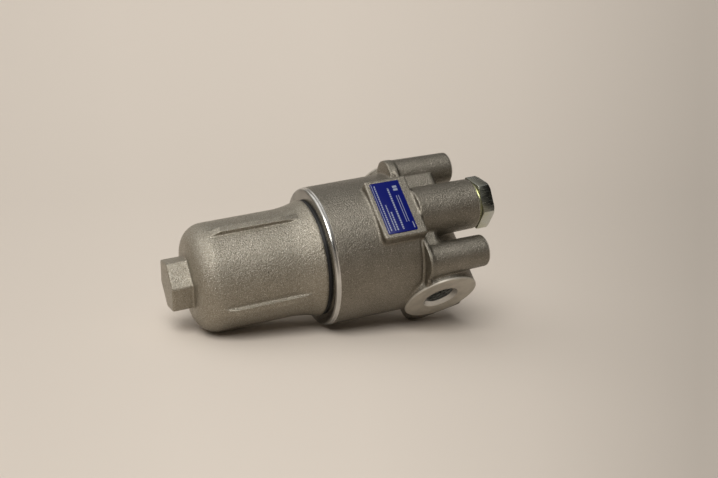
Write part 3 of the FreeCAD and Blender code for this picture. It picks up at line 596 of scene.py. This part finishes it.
neckRadius = bowlSize["neck"]
collarOutline = [(flangeFace - 0.4, bowlSize["flange"]), (flangeFace - 0.15, bowlSize["flange"]),
                 (flangeFace, bowlSize["flange"] - 0.25), (flangeFace, neckRadius + 0.25),
                 (flangeFace + 0.2, neckRadius), (3.0, neckRadius), (3.2, neckRadius - 0.1)]
pilotOutline = [(17.0, neckRadius - 0.05), (17.4, neckRadius - 0.1),
                (bowlSize["pilotStart"], bowlSize["pilot"]), (bowlSize["grooveStart"], bowlSize["pilot"]),
                (bowlSize["grooveStart"], bowlSize["groove"]), (bowlSize["grooveEnd"], bowlSize["groove"]),
                (bowlSize["grooveEnd"], bowlSize["pilot"]), (bowlSize["end"] - 0.5, bowlSize["pilot"]),
                (bowlSize["end"], 33.5), (bowlSize["end"], 30.2), (bowlSize["end"] - 0.6, bowlSize["bore"])]
floorRound = []
for degrees in range(0, 91, 15):
    angle = math.radians(degrees)
    floorRound.append((bowlSize["floor"] + bowlSize["floorRound"] * (1 - math.sin(angle)),
                       bowlSize["bore"] - bowlSize["floorRound"] * (1 - math.cos(angle))))
socketOutline = [(bowlSize["floor"], bowlSize["socket"]), (bowlSize["socketFloor"], bowlSize["socket"]),
                 (bowlSize["socketFloor"], 0.0)]
neck = bmesh.new()
turnedAbout(neck, collarOutline, steps=bowlSize["steps"])
turnedAbout(neck, pilotOutline + floorRound + socketOutline, steps=bowlSize["steps"])
finish("bowl_neck", neck, "bowl", turnedRim)
neckThread = bmesh.new()
neckTeeth = threadProfile(bowlSize["threadStart"], bowlSize["threadEnd"], bowlSize["pitch"],
                          neckRadius - 0.1, bowlSize["crest"])
turnedAbout(neckThread, neckTeeth, steps=96, lead=bowlSize["pitch"])
finish("bowl_neck_thread", neckThread, "bowl", turnedRim)
print("bowl dressed")

# Plug, washer, label

plugSize = {"sharp": 28, "bevel": 0.22}
plug = solidCopy("indicator_port_plug")
plug.normal_update()
sharp = [edge for edge in plug.edges if len(edge.link_faces) == 2
         and edge.calc_face_angle(0.0) > math.radians(plugSize["sharp"])]
bmesh.ops.bevel(plug, geom=sharp, offset=plugSize["bevel"], offset_type="OFFSET", segments=2, profile=0.5,
                affect="EDGES", material=-1)
finish("plug_body", plug, "head", zincPlate, ("indicator_port_plug",),
       smoothAngle=30.0)
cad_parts["plug_washer"].material_slots[0].material = zincYellow

labelSize = {"x": 36.1, "length": 19.8, "width": 36.9, "base": 46.9, "thick": 0.4, "corner": 1.0, "edge": 0.1}
# The label's rows: along the filter from and to, across it from and to, and the length of a dash, if any
labelLook = {"blue": (0.002, 0.006, 0.115), "pale": (0.26, 0.29, 0.38), "roughness": 0.34, "specular": 0.2,
             "dashGap": 0.24,
             "rows": [(36.8, 37.1, -17.7, 17.7, 0.0), (38.3, 39.1, -16.6, 16.8, 1.5),
                      (41.0, 41.7, -16.6, 2.0, 1.2), (42.7, 43.6, -16.6, -3.0, 1.7),
                      (46.3, 47.4, -16.6, 13.5, 1.6), (50.5, 50.9, -12.0, 7.5, 0.0),
                      (52.0, 52.4, -12.0, 7.5, 0.0), (50.3, 53.2, 11.0, 15.2, 2.1),
                      (54.0, 54.6, -16.8, -12.4, 0.0)]}


def between(tree, value, low, high):
    above = mathNode(tree, "GREATER_THAN", value, low)
    under = mathNode(tree, "LESS_THAN", value, high)
    return mathNode(tree, "MULTIPLY", above, under)


def makeLabelFilm(name, look=labelLook):
    # A blue printed film with generic plain rows.
    material, tree, shader = startMaterial(name, look["blue"], look["roughness"])
    shader.inputs["Specular IOR Level"].default_value = look["specular"]
    vector = millimetres(tree, tuple(placed(0, 0, 0)), (restRoll, 0, 0))
    split = tree.nodes.new("ShaderNodeSeparateXYZ")
    tree.links.new(vector, split.inputs["Vector"])
    marks = None
    for lowX, highX, lowY, highY, dash in look["rows"]:
        bar = mathNode(tree, "MULTIPLY", between(tree, split.outputs["X"], lowX, highX),
                       between(tree, split.outputs["Y"], lowY, highY))
        if dash:
            phase = mathNode(tree, "FRACT", mathNode(tree, "DIVIDE", split.outputs["Y"], dash), 0.0)
            bar = mathNode(tree, "MULTIPLY", bar, mathNode(tree, "GREATER_THAN", phase, look["dashGap"]))
        marks = bar if marks is None else mathNode(tree, "MAXIMUM", marks, bar)
    tree.links.new(mixColor(tree, marks, look["blue"], look["pale"]), shader.inputs["Base Color"])
    addBump(tree, shader, noise(tree, vector, 0.7), 0.000012, 0.5)
    return material


labelFilm = makeLabelFilm("labelFilm")
label = bmesh.new()
bmesh.ops.create_cube(label, size=1.0)
bmesh.ops.scale(label, verts=label.verts, vec=(labelSize["length"], labelSize["width"], labelSize["thick"]))
bmesh.ops.translate(label, verts=label.verts, vec=(labelSize["x"] + labelSize["length"] / 2, 0,
                                                   labelSize["base"] + labelSize["thick"] / 2))
upright = [edge for edge in label.edges if abs(edge.verts[0].co.z - edge.verts[1].co.z) > 0.1]
bmesh.ops.bevel(label, geom=upright, offset=labelSize["corner"], offset_type="OFFSET", segments=6,
                profile=0.5, affect="EDGES", material=-1)
upper = [edge for edge in label.edges if min(vert.co.z for vert in edge.verts) > labelSize["base"] + 0.3]
bmesh.ops.bevel(label, geom=upper, offset=labelSize["edge"], offset_type="OFFSET", segments=2, profile=0.5,
                affect="EDGES", material=-1)
finish("label_film", label, "head", labelFilm, ("label_plate",), smoothAngle=40.0)

# Pieces that stay as modelled

asModelled = {"plug_washer_seal": rubber, "bowl_dust_ring": rubber, "bowl_o_ring": rubber,
              "bowl_backup_ring": whitePlastic, "element_spigot": turnedSteel,
              "element_top_cap": elementPlastic, "element_o_ring": rubber,
              "element_bottom_cap": elementPlastic, "element_core": turnedSteel, "element_wrap": wovenWrap,
              "element_pleats": filterPaper, "bypass_seat": turnedSteel, "bypass_poppet": turnedSteel,
              "bypass_cage": turnedSteel, "bypass_retaining_ring": springSteel, "bypass_spring": springSteel}
for node, material in asModelled.items():
    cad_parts[node].material_slots[0].material = material
print("plug, washer, label and inner pieces dressed")

# Floor: one pale sheet that rises all round far from the filter, tilted as the filter lies

# The paper's painted shade is measured from the camera, so the camera's values come first.
cameraLook = {"place": (-0.18426, -0.54905, 0.16290), "turn": (1.30999, 0.08697, -0.40328),
              "sensor": 36.0, "lens": 46.796, "nearest": 0.01}
eye = axisStart + Vector(cameraLook["place"])
stageSize = {"up": (0.1617, -0.0126, 0.9868), "contact": (63.7, -0.85, -55.88), "flat": 0.5,
             "sweep": 5.0, "rise": 45, "steps": 18, "turns": 128}
# The across and away stops scale the paper's colour: painted shade, not the paper's own tone.
stageLook = {"color": (0.705, 0.635, 0.56), "roughness": 0.9, "specular": 0.05, "nearest": 0.3,
             "across": [(0.0, 0.97), (0.15, 1.0), (0.38, 0.97), (0.62, 0.86), (0.92, 0.64)],
             "away": [(0.0, 0.55), (0.3, 1.0), (0.6, 0.93), (1.0, 0.89)]}
contact = axisStart + 0.001 * Vector(stageSize["contact"])
floorUp = Vector(stageSize["up"]).normalized()
tilted = Matrix.Translation(contact) @ Vector((0, 0, 1)).rotation_difference(floorUp).to_matrix().to_4x4()
floor = bmesh.new()
outline = [(0.0, 0.0), (stageSize["flat"], 0.0)]
for step in range(1, stageSize["steps"] + 1):
    angle = math.radians(stageSize["rise"] * step / stageSize["steps"])
    outline.append((stageSize["flat"] + stageSize["sweep"] * math.sin(angle),
                    stageSize["sweep"] * (1 - math.cos(angle))))
line = [floor.verts.new((radius, 0, height)) for radius, height in outline]
edges = [floor.edges.new(pair) for pair in zip(line, line[1:])]
bmesh.ops.spin(floor, geom=line + edges, cent=(0, 0, 0), axis=(0, 0, 1), angle=math.tau,
               steps=stageSize["turns"], use_merge=True)
bmesh.ops.remove_doubles(floor, verts=floor.verts, dist=1e-6)
floor.transform(tilted)
bmesh.ops.recalc_face_normals(floor, faces=floor.faces)
for face in floor.faces:
    face.smooth = True
floorMesh = bpy.data.meshes.new("backdrop")
floor.to_mesh(floorMesh)
floor.free()
backdrop = bpy.data.objects.new("backdrop", floorMesh)
bpy.context.scene.collection.objects.link(backdrop)


def makePaper(name, look=stageLook):
    # Pale paper with painted shade: a little darker to the right, far away and close to the camera.
    material, tree, shader = startMaterial(name, look["color"], look["roughness"])
    shader.inputs["Specular IOR Level"].default_value = look["specular"]
    place = tree.nodes.new("ShaderNodeTexCoord")
    sides = tree.nodes.new("ShaderNodeSeparateXYZ")
    tree.links.new(place.outputs["Object"], sides.inputs["Vector"])
    right = mathNode(tree, "SUBTRACT", sides.outputs["X"], eye.x)
    depth = mathNode(tree, "SUBTRACT", sides.outputs["Y"], eye.y)
    slant = mathNode(tree, "DIVIDE", right, mathNode(tree, "MAXIMUM", depth, look["nearest"]))
    across = ramp(tree, slant, [(stop, grey(value)) for stop, value in look["across"]])
    away = ramp(tree, depth, [(stop, grey(value)) for stop, value in look["away"]])
    shaded = mixColor(tree, 1.0, across, away, "MULTIPLY")
    tree.links.new(mixColor(tree, 1.0, look["color"], shaded, "MULTIPLY"), shader.inputs["Base Color"])
    return material


floorMesh.materials.append(makePaper("backdropPaper"))

# Camera and lights

cameraData = bpy.data.cameras.new("camera")
cameraData.sensor_width = cameraLook["sensor"]
cameraData.sensor_fit = "HORIZONTAL"
cameraData.lens = cameraLook["lens"]
cameraData.clip_start = cameraLook["nearest"]
camera = bpy.data.objects.new("camera", cameraData)
camera.location = eye
camera.rotation_euler = cameraLook["turn"]
bpy.context.scene.collection.objects.link(camera)
bpy.context.scene.camera = camera

lightLook = {"frontLight": {"towards": (-0.2, -0.53, 0.82), "strength": 2.12, "spread": 38.0},
             "overheadLight": {"towards": (-0.4, 0.35, 1.0), "strength": 0.65, "spread": 70.0}}
for name, look in lightLook.items():
    lampData = bpy.data.lights.new(name, "SUN")
    lampData.color = (1.0, 0.985, 0.96)
    lampData.energy = look["strength"]
    lampData.angle = math.radians(look["spread"])
    lamp = bpy.data.objects.new(name, lampData)
    lamp.rotation_euler = Vector(look["towards"]).to_track_quat("Z", "Y").to_euler()
    bpy.context.scene.collection.objects.link(lamp)

# The room: pale overhead and behind, dark in front and to the right
roomLook = {"rise": [(0.0, (0.10, 0.095, 0.085)), (0.3, (0.05, 0.048, 0.044)), (0.55, (0.06, 0.058, 0.054)),
                     (0.8, (0.5, 0.49, 0.475)), (1.0, (0.6, 0.59, 0.575))],
            "behind": (0.40, 0.38, 0.35), "behindStops": [(0.15, grey(0.0)), (0.55, grey(1.0))],
            "rightStops": [(0.1, grey(1.0)), (0.65, grey(0.2))]}
world = bpy.data.worlds.new("room")
bpy.context.scene.world = world
world.use_nodes = True
sky = world.node_tree
direction = sky.nodes.new("ShaderNodeTexCoord")
parts = sky.nodes.new("ShaderNodeSeparateXYZ")
sky.links.new(direction.outputs["Generated"], parts.inputs["Vector"])
front = ramp(sky, parts.outputs["Z"], roomLook["rise"])
behind = ramp(sky, parts.outputs["Y"], roomLook["behindStops"])
right = ramp(sky, parts.outputs["X"], roomLook["rightStops"])
room = mixColor(sky, 1.0, mixColor(sky, behind, front, roomLook["behind"], "LIGHTEN"), right, "MULTIPLY")
sky.links.new(room, sky.nodes["Background"].inputs["Color"])
sky.nodes["Background"].inputs["Strength"].default_value = 1.0
bpy.context.scene.view_settings.view_transform = "Standard"
print("stage, camera and lights set")
